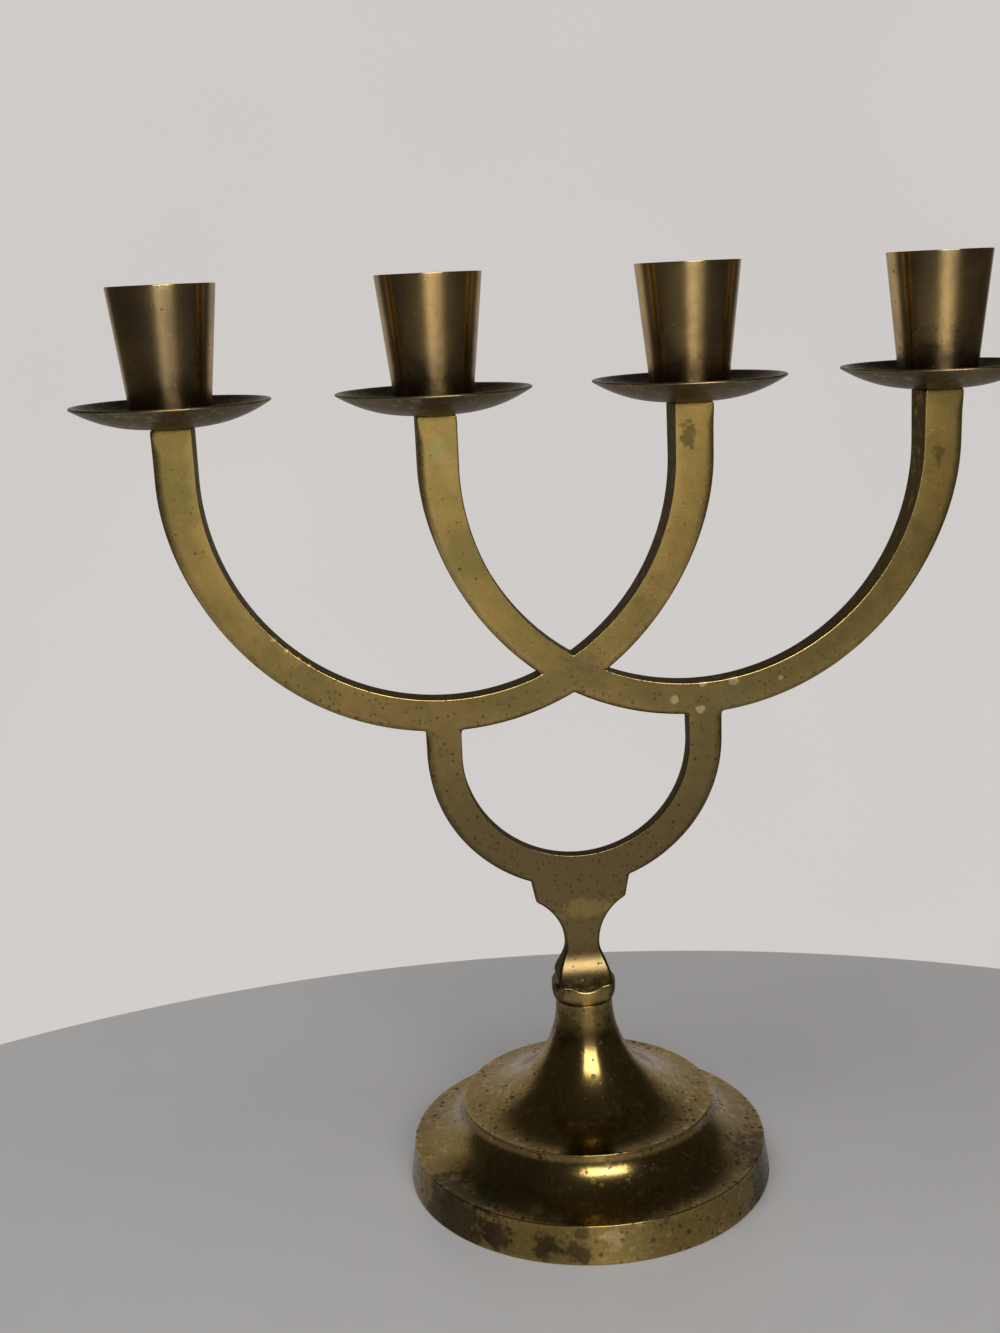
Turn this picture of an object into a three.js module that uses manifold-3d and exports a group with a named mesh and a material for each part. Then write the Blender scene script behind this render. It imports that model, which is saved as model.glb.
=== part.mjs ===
// A four-light brass candelabra: a turned foot, one cast frame of two crossing arches on a small
// yoke, and a screwed-on candle cup with its drip pan on each arm.
// Millimetres, +Z up, arms along X, front towards -Y. The origin is the centre of the foot's base.
import * as THREE from "three";
import { mergeVertices } from "three/addons/utils/BufferGeometryUtils.js";
import Module from "manifold-3d";

const wasm = await Module();
wasm.setup();

// Driving dimensions of the cast frame
const cupPitch = 66.4; // centre to centre of neighbouring candle cups, and the arches' radius
const armWidth = 10.4; // an arm at its top, seen from the front
const barWidth = 8.9; // an arch at its lowest point
const armLeg = 13.6; // straight part of each arm above its arch
const yokeRadius = 30.8; // inside radius of the small arch under the crossing
const yokeWidth = 9.2;
const yokeLeg = 7; // straight part of the yoke, up to the arches' lowest points
const stemHeight = 32.8; // from the foot's top to the underside of the yoke
const armDepth = 11; // front to back at the arm tops
const yokeDepth = 3.6; // front to back where the yoke is lowest, the casting's thinnest place

// The stem under the yoke: two ears, a waist and a flare down to a round collar
const earHalf = 13.6;
const earFootHalf = 12.4; // the ear's side leans in towards its foot
const earDrop = 3.8; // how far the ear's side reaches below the yoke
const waistHalf = 4.7;
const waistHeight = 16; // above the foot's top
const flareHalf = 7.3; // half width of the square flare above the collar
const flareHalfDepth = 9; // the sweep runs out through the collar's face at this depth
const flareHeight = 7; // where the flare has its full width, above the foot's top
const sweepHeight = 24; // where the front and back start to sweep out to the flare
const sweepFootHeight = 4.3; // where they are furthest out
const sweepPower = 4; // how late the sweep curls out
const collarRadius = 8.9;
const collarHeight = 5.6;
const cornerTrim = 1; // the flare's corners are turned down to this far outside the collar
const trimHeight = 5.5; // how far above the collar they are turned
const stemSink = 0.4; // how far the stem's corners reach below the collar's top

// The turned foot
const footHeight = 52;
const footRadius = 51.1;
const rimRadius = 49.6; // top edge of the leaning rim
const rimHeight = 10.4;
const discRadius = 35; // sharp edge of the upper tier
const discHeight = 22.1;
const discLip = 0.7; // thickness of that edge
const discUndercut = 1.2; // how far the lower tier starts inside the edge
const neckRadius = 7.9;
const neckStraight = 1;
const footWall = 3;
const nutSeatHeight = 34; // flat under the neck that the washer bears on

// Cups and pans
const cupHeight = 33.5;
const cupMouthRadius = 13.65;
const cupFootRadius = 9.95;
const cupWall = 1.25;
const cupFloor = 2.1;
const panRadius = 25.35;
const panRise = 5.8; // outer edge of the pan's underside above its flat middle
const panWall = 1.3;
const panSeatRadius = 5; // flat underside that stands on the arm
const panLip = 0.45;
const edgeEase = 0.4; // small chamfer on turned edges

// Fasteners
const screwRadius = 2; // M4 slotted screw through cup and pan
const screwHeadRadius = 3.7;
const screwHeadRim = 0.3; // straight edge above the head's cone
const screwLength = 16;
const slotWidth = 1;
const slotDepth = 0.9;
const studRadius = 3; // M6 stud through the neck of the foot
const studGrip = 7.5; // length of stud inside the stem
const nutAcrossFlats = 10;
const nutHeight = 5;
const studTail = 3; // stud showing below the nut
const washerRoom = 1.5; // radial, between the washer and the foot's wall at the nut seat
const washerThickness = 1.4;
const springRadius = 5.4;
const springThickness = 1.5;
const springGap = 1.4; // cut in the split ring
const holeClearance = 0.3; // radial, round every screw and stud
const tapRunout = 1.2; // hole beyond a screw's end

// Worked-out levels and places
const archRadius = cupPitch - armWidth / 2; // inside radius of each large arch
const archX = cupPitch / 2;
const yokeZ = footHeight + stemHeight + yokeWidth + yokeRadius;
const archZ = yokeZ + yokeLeg + barWidth + archRadius;
const armTopZ = archZ + armLeg;
const yokeOuter = yokeRadius + yokeWidth;
const yokeLowZ = yokeZ - yokeRadius; // lowest point of the yoke's inside
const earTopZ = yokeZ - Math.sqrt(yokeOuter ** 2 - earHalf ** 2);
const earFootZ = footHeight + stemHeight - earDrop;
const waistZ = footHeight + waistHeight;
const flareZ = footHeight + flareHeight;
const sweepZ = footHeight + sweepHeight;
const sweepFootZ = footHeight + sweepFootHeight;
const collarZ = footHeight + collarHeight;
const cupXs = [-archX - cupPitch, archX - cupPitch, cupPitch - archX, archX + cupPitch];
const panFlatRadius = cupFootRadius + holeClearance;
const panFloor = panWall + panCurve(panFlatRadius);
const cupZ = armTopZ + panFloor;
const screwHole = screwRadius + holeClearance;
const headHole = screwHeadRadius + holeClearance;
const headCone = screwHeadRadius - screwRadius; // height of the 45 degree countersink
const washerRadius = neckInside(nutSeatHeight) - washerRoom;
const studHole = studRadius + holeClearance;
const washerZ = nutSeatHeight - washerThickness;
const springZ = washerZ - springThickness;
const nutZ = springZ - nutHeight;

// Smoothness of round stretches
const turnSteps = 60;
const smallTurnSteps = 36;
const screwSteps = 16;
const arcSteps = 40;
const shortArcSteps = 10;

const brass = { color: 0x8a713c, metalness: 1, roughness: 0.38 };
const darkBrass = { color: 0x5e4c30, metalness: 1, roughness: 0.42 };
const steel = { color: 0x8c8c88, metalness: 1, roughness: 0.45 };

// A value eased from 0 to 1 with level ends
function ease(t) {
  const s = Math.min(1, Math.max(0, t));
  return s * s * (3 - 2 * s);
}

// Evenly spaced values from first to last, both included
function spread(first, last, steps) {
  return Array.from({ length: steps + 1 }, (_, i) => first + ((last - first) * i) / steps);
}

// Height of the pan's underside at a radius: flat in the middle, then a bowl
function panCurve(radius) {
  const s = Math.max(0, (radius - panSeatRadius) / (panRadius - panSeatRadius));
  return panRise * s ** 2.2;
}

// Radius of the foot's inside under its neck, one wall inside the outer curve
function neckInside(height) {
  const run = discRadius - neckRadius + footWall;
  const drop = footHeight - neckStraight - discHeight + footWall;
  const down = (footHeight - neckStraight - height) / drop;
  return discRadius - run * Math.sqrt(1 - down ** 2);
}

function solidOf(geometry) {
  const bare = geometry.index ? geometry.toNonIndexed() : geometry;
  bare.deleteAttribute("normal");
  bare.deleteAttribute("uv");
  const merged = mergeVertices(bare, 1e-4);
  return new wasm.Manifold(
    new wasm.Mesh({
      numProp: 3,
      vertProperties: merged.attributes.position.array,
      triVerts: new Uint32Array(merged.index.array),
    }),
  );
}

function geometryOf(solid) {
  const mesh = solid.getMesh();
  const geometry = new THREE.BufferGeometry();
  geometry.setAttribute("position", new THREE.BufferAttribute(mesh.vertProperties, 3));
  geometry.setIndex(new THREE.BufferAttribute(mesh.triVerts, 1));
  geometry.computeVertexNormals();
  return geometry;
}

// A profile of [radius, height] pairs turned about the Z axis
function turned(profile, steps) {
  const points = profile.map(([radius, height]) => new THREE.Vector2(radius, height));
  return new THREE.LatheGeometry(points, steps).rotateX(Math.PI / 2);
}

// A [radius, height] ring profile closed on itself
function turnedRing(profile, steps) {
  return turned([...profile, profile[0]], steps);
}

// An outline of [x, z] pairs given its depth along Y, centred on the XZ plane
function frontExtrude(outline, depth) {
  const shape = new THREE.Shape(outline.map(([x, z]) => new THREE.Vector2(x, z)));
  const options = { depth, bevelEnabled: false };
  return new THREE.ExtrudeGeometry(shape, options).translate(0, 0, -depth / 2).rotateX(Math.PI / 2);
}

// A right-hand side of [x, z] pairs from bottom to top, closed with its mirror image
function mirrored(right) {
  return [...right, ...right.map(([x, z]) => [-x, z]).reverse()];
}

// A plain round bar between two heights
function roundBar(radius, bottom, top, steps) {
  return turned([[0, bottom], [radius, bottom], [radius, top], [0, top]], steps);
}

// One U of bar: inside radius, straight legs up to legTop, width by angle from the lowest point
function uBar(centreX, centreZ, insideRadius, widthAt, legTop) {
  const angles = spread(-Math.PI / 2, Math.PI / 2, arcSteps);
  const onArc = (angle, radius) => [
    centreX + radius * Math.sin(angle),
    centreZ - radius * Math.cos(angle),
  ];
  const inside = angles.map((a) => onArc(a, insideRadius));
  const outside = angles.map((a) => onArc(a, insideRadius + widthAt(a)));
  const legs = (points) => [[points[0][0], legTop], ...points, [points.at(-1)[0], legTop]];
  return frontExtrude([...legs(outside), ...legs(inside).reverse()], 2 * armDepth);
}

function archBar(centreX) {
  const widthAt = (angle) => barWidth + (armWidth - barWidth) * Math.sin(angle) ** 12;
  return uBar(centreX, archZ, archRadius, widthAt, armTopZ);
}

function yokeBar() {
  const joined = archZ - archRadius - barWidth / 2; // inside the arches' metal
  return uBar(0, yokeZ, yokeRadius, () => yokeWidth, joined);
}

// Half width of the stem from the collar to the waist
function flareAt(height) {
  const widen = 1 - ease((height - flareZ) / (waistZ - flareZ));
  return waistHalf + (flareHalf - waistHalf) * widen;
}

// The stem's front outline: flare, waist, a hollow curve out to the ears, and up into the yoke
function stemOutline() {
  const flare = spread(collarZ - stemSink, waistZ, shortArcSteps);
  const hollowRise = earFootZ - waistZ;
  const hollowRun = earFootHalf - waistHalf;
  // radius of the arc that is upright at the waist and passes through the ear's foot
  const hollowRadius = (hollowRise ** 2 + hollowRun ** 2) / (2 * hollowRun);
  const hollow = spread(0, Math.asin(hollowRise / hollowRadius), shortArcSteps).slice(1);
  const right = [
    ...flare.map((z) => [flareAt(z), z]),
    ...hollow.map((a) => [
      waistHalf + hollowRadius * (1 - Math.cos(a)),
      waistZ + hollowRadius * Math.sin(a),
    ]),
    [earHalf, earTopZ],
    [earHalf * 0.8, earTopZ + yokeWidth / 3],
  ];
  return mirrored(right);
}

// Half thickness of the casting: swept out to the flare below, thinnest at the yoke, and
// growing steadily up to the arm tops
function halfDepthAt(height) {
  const thin = yokeDepth / 2;
  const sweep = Math.min(1, Math.max(0, (sweepZ - height) / (sweepZ - sweepFootZ)));
  const grow = Math.max(0, (height - yokeLowZ) / (armTopZ - yokeLowZ));
  return thin + (flareHalfDepth - thin) * sweep ** sweepPower + (armDepth / 2 - thin) * grow;
}

// The whole casting seen from the side
function sideOutline() {
  const swept = spread(sweepFootZ, sweepZ, shortArcSteps);
  const heights = [footHeight, ...swept, yokeLowZ, armTopZ];
  return mirrored(heights.map((z) => [halfDepthAt(z), z]));
}

function collar() {
  const steps = spread(0, 1, shortArcSteps);
  const side = steps.map((t) => [
    neckRadius + (collarRadius - neckRadius) * Math.sin(Math.PI * (0.1 + 0.58 * t ** 0.8)),
    footHeight + collarHeight * t,
  ]);
  return turned([[0, footHeight], ...side, [0, collarZ]], smallTurnSteps);
}

// What a lathe leaves of the stem: its corners are turned off just above the collar
function turnedEnvelope() {
  const trim = collarRadius + cornerTrim;
  const trimZ = collarZ + trimHeight;
  const clear = earHalf + yokeDepth;
  const top = earTopZ + yokeWidth;
  const profile = [[0, footHeight], [trim, footHeight], [trim, trimZ]];
  return turned([...profile, [clear, trimZ + clear - trim], [clear, top], [0, top]], turnSteps);
}

function armFrame() {
  const stem = solidOf(frontExtrude(stemOutline(), 2 * armDepth));
  const side = solidOf(frontExtrude(sideOutline(), 4 * archRadius).rotateZ(Math.PI / 2));
  let frame = stem
    .intersect(solidOf(turnedEnvelope()))
    .add(solidOf(archBar(-archX)))
    .add(solidOf(archBar(archX)))
    .add(solidOf(yokeBar()))
    .add(solidOf(collar()))
    .intersect(side);
  const screwDepth = screwLength - panFloor - cupFloor + tapRunout;
  for (const x of cupXs) {
    const hole = roundBar(screwHole, armTopZ - screwDepth, armTopZ + 1, screwSteps);
    frame = frame.subtract(solidOf(hole.translate(x, 0, 0)));
  }
  const studTop = footHeight + studGrip + tapRunout;
  const studBore = roundBar(studHole, footHeight - 1, studTop, screwSteps);
  return geometryOf(frame.subtract(solidOf(studBore)));
}

// A hollow quarter curve, upright at its start and level at its end
function cove(startRadius, endRadius, top, bottom, first, last, steps) {
  return spread(first, last, steps).map((a) => [
    endRadius - (endRadius - startRadius) * Math.cos(a),
    top - (top - bottom) * Math.sin(a),
  ]);
}

function foot() {
  const quarter = Math.PI / 2;
  const neckFoot = footHeight - neckStraight;
  const innerDisc = discRadius - discUndercut;
  const lowerTop = discHeight - discLip;
  const outside = [
    [studHole, footHeight],
    [neckRadius - edgeEase, footHeight],
    ...cove(neckRadius, discRadius, neckFoot, discHeight, 0, quarter, 14),
    [discRadius, lowerTop],
    ...cove(innerDisc, rimRadius, lowerTop, rimHeight, 0, quarter, 8),
    [rimRadius + edgeEase / 4, rimHeight - edgeEase],
    [footRadius, edgeEase],
    [footRadius - edgeEase, 0],
  ];
  // the same curves, one wall thickness further in
  const upperRun = discRadius - neckRadius + footWall;
  const upperDrop = neckFoot - discHeight + footWall;
  const lowerRun = rimRadius - innerDisc + footWall;
  const lowerDrop = lowerTop - rimHeight + footWall;
  const rimInside = rimRadius - footWall;
  const lowerLast = Math.acos((rimRadius - rimInside) / lowerRun);
  const meetZ = discHeight - footWall;
  const lowerFirst = Math.asin(Math.max(0, lowerTop - meetZ) / lowerDrop);
  const meetRadius = rimRadius - lowerRun * Math.cos(lowerFirst);
  const upperLast = Math.acos((discRadius - meetRadius) / upperRun);
  const upperFirst = Math.asin((neckFoot - nutSeatHeight) / upperDrop);
  const lowerInside = cove(
    rimRadius - lowerRun, rimRadius, lowerTop, lowerTop - lowerDrop, lowerFirst, lowerLast, 4,
  );
  const upperInside = cove(
    discRadius - upperRun, discRadius, neckFoot, neckFoot - upperDrop, upperFirst, upperLast, 6,
  );
  const inside = [
    [footRadius - footWall, 0],
    ...lowerInside.reverse(),
    ...upperInside.reverse().slice(1),
    [studHole, nutSeatHeight],
  ];
  return turnedRing([...outside, ...inside].reverse(), turnSteps);
}

function dripPan() {
  const under = spread(panSeatRadius, panRadius, 7).map((r) => [r, panCurve(r)]);
  const rimTop = panRise + panLip;
  const lastInside = panRadius - (panWall - panLip);
  const upper = spread(panFlatRadius, lastInside, 5).map((r) => [r, panCurve(r) + panWall]);
  upper[upper.length - 1][1] = rimTop;
  return turnedRing(
    [[screwHole, 0], ...under, [panRadius - panLip / 2, rimTop], ...upper.reverse(), [screwHole, panFloor]],
    smallTurnSteps,
  );
}

function candleCup() {
  const slope = (cupMouthRadius - cupFootRadius) / cupHeight;
  const floorRadius = cupFootRadius + slope * cupFloor - cupWall;
  return turnedRing(
    [
      [screwHole, 0],
      [cupFootRadius - edgeEase, 0],
      [cupFootRadius + slope * edgeEase, edgeEase],
      [cupMouthRadius - edgeEase / 4, cupHeight - edgeEase / 2],
      [cupMouthRadius - edgeEase / 2, cupHeight],
      [cupMouthRadius - cupWall, cupHeight],
      [floorRadius, cupFloor],
      [headHole, cupFloor],
      [headHole, cupFloor - screwHeadRim],
      [screwHole, cupFloor - screwHeadRim - headCone],
    ],
    smallTurnSteps,
  );
}

// A slotted countersunk screw with the top of its head at height 0
function cupScrew() {
  const blank = turned(
    [
      [0, -screwLength],
      [screwRadius - edgeEase, -screwLength],
      [screwRadius, -screwLength + edgeEase],
      [screwRadius, -screwHeadRim - headCone],
      [screwHeadRadius, -screwHeadRim],
      [screwHeadRadius, 0],
      [0, 0],
    ],
    screwSteps,
  );
  const slot = new THREE.BoxGeometry(3 * screwHeadRadius, slotWidth, 2 * slotDepth);
  return geometryOf(solidOf(blank).subtract(solidOf(slot)));
}

function footStud() {
  const top = footHeight + studGrip;
  const bottom = nutZ - studTail;
  return turned(
    [
      [0, bottom],
      [studRadius - edgeEase, bottom],
      [studRadius, bottom + edgeEase],
      [studRadius, top - edgeEase],
      [studRadius - edgeEase, top],
      [0, top],
    ],
    screwSteps,
  );
}

function flatWasher() {
  return turnedRing(
    [
      [studHole, washerZ],
      [washerRadius, washerZ],
      [washerRadius, nutSeatHeight],
      [studHole, nutSeatHeight],
    ],
    smallTurnSteps,
  );
}

function springWasher() {
  const ring = turnedRing(
    [
      [studHole, springZ],
      [springRadius, springZ],
      [springRadius, washerZ],
      [studHole, washerZ],
    ],
    smallTurnSteps,
  );
  const cut = new THREE.BoxGeometry(springRadius * 2, springGap, springThickness * 3);
  cut.rotateZ(0.3).translate(springRadius, 0, springZ);
  return geometryOf(solidOf(ring).subtract(solidOf(cut)));
}

function hexNut() {
  const corner = nutAcrossFlats / Math.sqrt(3);
  const blank = new THREE.CylinderGeometry(corner, corner, nutHeight, 6).rotateX(Math.PI / 2);
  blank.translate(0, 0, nutZ + nutHeight / 2);
  const bore = roundBar(studHole, nutZ - 1, springZ + 1, screwSteps);
  return geometryOf(solidOf(blank).subtract(solidOf(bore)));
}

const candelabra = new THREE.Group();

function place(name, geometry, finish, x = 0, z = 0) {
  const mesh = new THREE.Mesh(geometry, new THREE.MeshStandardMaterial(finish));
  mesh.name = name;
  mesh.position.set(x, 0, z);
  candelabra.add(mesh);
}

place("foot", foot(), brass);
place("arm_frame", armFrame(), brass);
cupXs.forEach((x, i) => {
  place(`drip_pan_${i + 1}`, dripPan(), darkBrass, x, armTopZ);
  place(`candle_cup_${i + 1}`, candleCup(), darkBrass, x, cupZ);
  place(`cup_screw_${i + 1}`, cupScrew(), brass, x, cupZ + cupFloor);
});
place("foot_stud", footStud(), steel);
place("foot_washer", flatWasher(), steel);
place("foot_spring_washer", springWasher(), steel);
place("foot_nut", hexNut(), steel);

export default candelabra;
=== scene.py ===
# A four-light brass candelabra, dressed over its fixed CAD frame.
# Shapes below are worked out in millimetres and go into the meshes in metres.
# X runs along the arms, -Y faces the viewer, Z is up, and the foot stands on z = 0.
import bpy
import bmesh
import math
import numpy as np
from mathutils import Matrix, Vector
from mathutils.geometry import delaunay_2d_cdt


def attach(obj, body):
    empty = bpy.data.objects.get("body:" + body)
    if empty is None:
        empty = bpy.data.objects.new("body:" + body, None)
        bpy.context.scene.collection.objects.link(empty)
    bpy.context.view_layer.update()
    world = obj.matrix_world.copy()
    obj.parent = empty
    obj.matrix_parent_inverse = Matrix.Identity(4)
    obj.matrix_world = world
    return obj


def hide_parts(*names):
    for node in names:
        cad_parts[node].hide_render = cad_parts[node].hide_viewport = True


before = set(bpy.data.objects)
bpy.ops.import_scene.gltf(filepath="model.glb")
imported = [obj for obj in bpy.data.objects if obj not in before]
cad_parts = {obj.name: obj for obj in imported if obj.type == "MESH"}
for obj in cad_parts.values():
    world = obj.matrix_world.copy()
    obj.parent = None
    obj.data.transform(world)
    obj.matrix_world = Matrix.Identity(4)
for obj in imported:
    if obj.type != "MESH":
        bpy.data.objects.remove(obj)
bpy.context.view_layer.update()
print("frame loaded")

# Helpers for lines of points and for meshes

def ease(t):
    # rises from 0 to 1 with level ends: 3 t^2 - 2 t^3
    s = np.clip(t, 0, 1)
    return s * s * (3 - 2 * s)


def runOf(points):
    # distance travelled along a line of points, from 0
    return np.concatenate([[0], np.cumsum(np.hypot(*np.diff(points, axis=0).T))])


def softened(points, corners, step, closed=False, rounds=60):
    # Points are set evenly along the line, then each is moved again and again towards the
    # middle of its two neighbours, only near the listed corners (x, z, softness in mm): fully
    # up to 3 times the softness away and not at all beyond 8 times. That rounds a corner to a
    # radius of about 1.6 times its softness.
    line = np.vstack([points, points[:1]]) if closed else np.asarray(points, float)
    run = runOf(line)
    count = int(round(run[-1] / step)) + (0 if closed else 1)
    at = np.linspace(0, run[-1], count, endpoint=not closed)
    even = np.stack([np.interp(at, run, line[:, k]) for k in (0, 1)], 1)
    pull = np.zeros(count)
    gap = run[-1] / count
    for x, z, softness in corners:
        share = softness ** 2 / (rounds * gap ** 2)
        away = np.hypot(even[:, 0] - x, even[:, 1] - z)
        pull = np.maximum(pull, min(share, 1.0) * (1 - ease(away / (5 * softness) - 0.6)))
    for _ in range(rounds):
        middle = (np.roll(even, 1, 0) + np.roll(even, -1, 0)) / 2
        if not closed:
            middle[0], middle[-1] = even[0], even[-1]
        even = even + pull[:, None] * (middle - even)
    return even


def outwards(points, closed):
    # unit normals of a line of points, on its right-hand side
    if closed:
        along = np.roll(points, -1, 0) - np.roll(points, 1, 0)
    else:
        along = np.gradient(points, axis=0)
    along /= np.hypot(*along.T)[:, None]
    return np.stack([along[:, 1], -along[:, 0]], 1)


def thinned(points, longStep, turnStep, closed):
    # Keeps fewer points where the line is nearly straight: the spacing follows
    # 1 / (1 / longStep + turning / turnStep), and the normals come along.
    normals = outwards(points, closed)
    line, facing = (np.vstack([a, a[:1]]) if closed else a for a in (points, normals))
    length = np.hypot(*np.diff(line, axis=0).T)
    heading = np.unwrap(np.arctan2(facing[:, 1], facing[:, 0]))
    turning = np.abs(np.diff(heading)) / math.radians(turnStep)
    weight = np.concatenate([[0], np.cumsum(length / longStep + turning)])
    count = int(math.ceil(weight[-1])) + (0 if closed else 1)
    at = np.linspace(0, weight[-1], count, endpoint=not closed)
    kept = np.stack([np.interp(at, weight, line[:, k]) for k in (0, 1)], 1)
    face = np.stack([np.interp(at, weight, facing[:, k]) for k in (0, 1)], 1)
    return kept, face / np.hypot(*face.T)[:, None]


def roundedLine(points, corners, sizes, closed=True):
    # the line with softened corners, thinned by the piece's own steps, and its normals
    line = softened(points, corners, sizes["fineStep"], closed)
    return thinned(line, sizes["longStep"], sizes["turnStep"], closed)


def gridFaces(rows, columns, closedRows=False, closedColumns=False):
    # quads of a rows x columns grid of points numbered row by row
    r = np.arange(rows if closedRows else rows - 1)
    c = np.arange(columns if closedColumns else columns - 1)
    r, c = (a.ravel() for a in np.meshgrid(r, c, indexing="ij"))
    r2, c2 = (r + 1) % rows, (c + 1) % columns
    return np.stack([r * columns + c, r * columns + c2, r2 * columns + c2, r2 * columns + c], 1)


def addObject(name, data):
    # a new object in the scene
    thing = bpy.data.objects.new(name, data)
    bpy.context.scene.collection.objects.link(thing)
    return thing


def buildPiece(name, points, faceGroups, uv=None):
    # Points in millimetres and arrays of faces, one array for each number of corners, become
    # a smooth mesh object in metres. uv has one pair for every corner of every face.
    corners = np.concatenate([group.ravel() for group in faceGroups]).astype(np.int32)
    sizes = np.concatenate([np.full(len(group), group.shape[1]) for group in faceGroups])
    mesh = bpy.data.meshes.new(name)
    mesh.vertices.add(len(points))
    mesh.vertices.foreach_set("co", (np.asarray(points) * 0.001).astype(np.float32).ravel())
    mesh.loops.add(len(corners))
    mesh.loops.foreach_set("vertex_index", corners)
    mesh.polygons.add(len(sizes))
    mesh.polygons.foreach_set("loop_start", (np.cumsum(sizes) - sizes).astype(np.int32))
    mesh.update(calc_edges=True)
    if uv is not None:
        layer = mesh.uv_layers.new(name="around")
        layer.data.foreach_set("uv", np.asarray(uv, np.float32).ravel())
    mesh.validate()
    mesh.shade_smooth()
    return addObject(name, mesh)


def turnedPoints(profile, steps, x=0.0, z=0.0):
    # A [radius, height] profile carried round the upright line through (x, 0):
    # point(i, j) = (x + r_i cos a_j, r_i sin a_j, z + h_i), with a_j from 0 to a full turn.
    angle = np.linspace(0, 2 * math.pi, steps, endpoint=False)
    r, h = profile[:, :1], profile[:, 1:]
    return np.stack([x + r * np.cos(angle), r * np.sin(angle), z + h + 0 * angle], -1).reshape(-1, 3)


def turnedPiece(name, profile, x, z, steps):
    # a turned piece with UV "around": u once round the piece, v along its profile
    count = len(profile)
    run = runOf(np.vstack([profile, profile[:1]]))
    along, column = np.divmod(np.arange(count * steps), steps)
    u = np.stack([column, column + 1, column + 1, column], 1) / steps
    v = np.stack([run[along], run[along], run[along + 1], run[along + 1]], 1) / run[-1]
    faces = gridFaces(count, steps, True, True)
    around = np.stack([u, v], -1)
    return facingOut(buildPiece(name, turnedPoints(profile, steps, x, z), [faces], around))


def hollowQuarter(startRadius, endRadius, top, bottom, first, last, steps):
    # A hollow quarter curve, upright at its start and level at its end: the radius is
    # end - (end - start) cos a and the height is top - (top - bottom) sin a.
    a = np.linspace(first, last, steps)
    return np.stack([
        endRadius - (endRadius - startRadius) * np.cos(a),
        top - (top - bottom) * np.sin(a)], 1)


def facingOut(piece):
    # points within 0.002 mm of each other merged, then every face turned outwards
    shape = bmesh.new()
    shape.from_mesh(piece.data)
    bmesh.ops.remove_doubles(shape, verts=shape.verts, dist=2e-6)
    bmesh.ops.recalc_face_normals(shape, faces=shape.faces)
    shape.to_mesh(piece.data)
    shape.free()
    piece.data.shade_smooth()
    return piece


# The turned foot, hollow underneath
foot = {
    "height": 52.0,
    "radius": 51.1,
    "rimRadius": 49.6,
    "rimHeight": 10.4,
    "discRadius": 35.0,
    "discHeight": 22.1,
    "discLip": 0.7,
    "discUndercut": 1.2,
    "neckRadius": 7.9,
    "neckStraight": 1.0,
    "wall": 3.0,
    "nutSeat": 34.0,
    "boreRadius": 3.3,
    "neckRound": 0.3,         # softness of the corners, in mm
    "discRound": 0.16,
    "lipRound": 0.14,
    "rimRound": 0.2,
    "baseRound": 0.3,
    "upperSteps": 60,
    "lowerSteps": 40,
    "insideUpper": 24,
    "insideLower": 16,
    "fineStep": 0.1,
    "longStep": 1.6,
    "turnStep": 6,
    "steps": 180,
}


def footProfile():
    # Down the outside over two hollow quarter curves, round the rim, and up the inside along
    # the same curves moved in by the wall, to the level seat of the nut.
    top, radius, wall, bore, seat, neck, disc, discZ, rim, rimZ = (foot[k] for k in (
        "height", "radius", "wall", "boreRadius", "nutSeat", "neckRadius", "discRadius",
        "discHeight", "rimRadius", "rimHeight"))
    quarter = math.pi / 2
    neckFoot = top - foot["neckStraight"]
    innerDisc = disc - foot["discUndercut"]
    lowerTop = discZ - foot["discLip"]
    upper = hollowQuarter(neck, disc, neckFoot, discZ, 0, quarter, foot["upperSteps"])
    lower = hollowQuarter(innerDisc, rim, lowerTop, rimZ, 0, quarter, foot["lowerSteps"])
    upperRun = disc - neck + wall
    upperDrop = neckFoot - discZ + wall
    lowerRun = rim - innerDisc + wall
    lowerDrop = lowerTop - rimZ + wall
    lowerFirst = math.asin((lowerTop - (discZ - wall)) / lowerDrop)
    lowerLast = math.acos(wall / lowerRun)
    meet = rim - lowerRun * math.cos(lowerFirst)
    upperFirst = math.asin((neckFoot - seat) / upperDrop)
    upperLast = math.acos((disc - meet) / upperRun)
    lowerIn = hollowQuarter(rim - lowerRun, rim, lowerTop, lowerTop - lowerDrop,
                            lowerFirst, lowerLast, foot["insideLower"])
    upperIn = hollowQuarter(disc - upperRun, disc, neckFoot, neckFoot - upperDrop,
                            upperFirst, upperLast, foot["insideUpper"])
    line = np.vstack([
        [(bore, top), (neck, top)], upper, [(disc, lowerTop)], lower,
        [(radius, 0), (radius - wall, 0)], lowerIn[::-1], upperIn[::-1], [(bore, seat)]])
    corners = [
        (neck, top, foot["neckRound"]), (disc, discZ, foot["discRound"]),
        (disc, lowerTop, foot["lipRound"]), (*lower[-1], foot["rimRound"]),
        (radius, 0, foot["baseRound"]), (radius - wall, 0, foot["baseRound"])]
    return roundedLine(line, corners, foot)[0]


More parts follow.
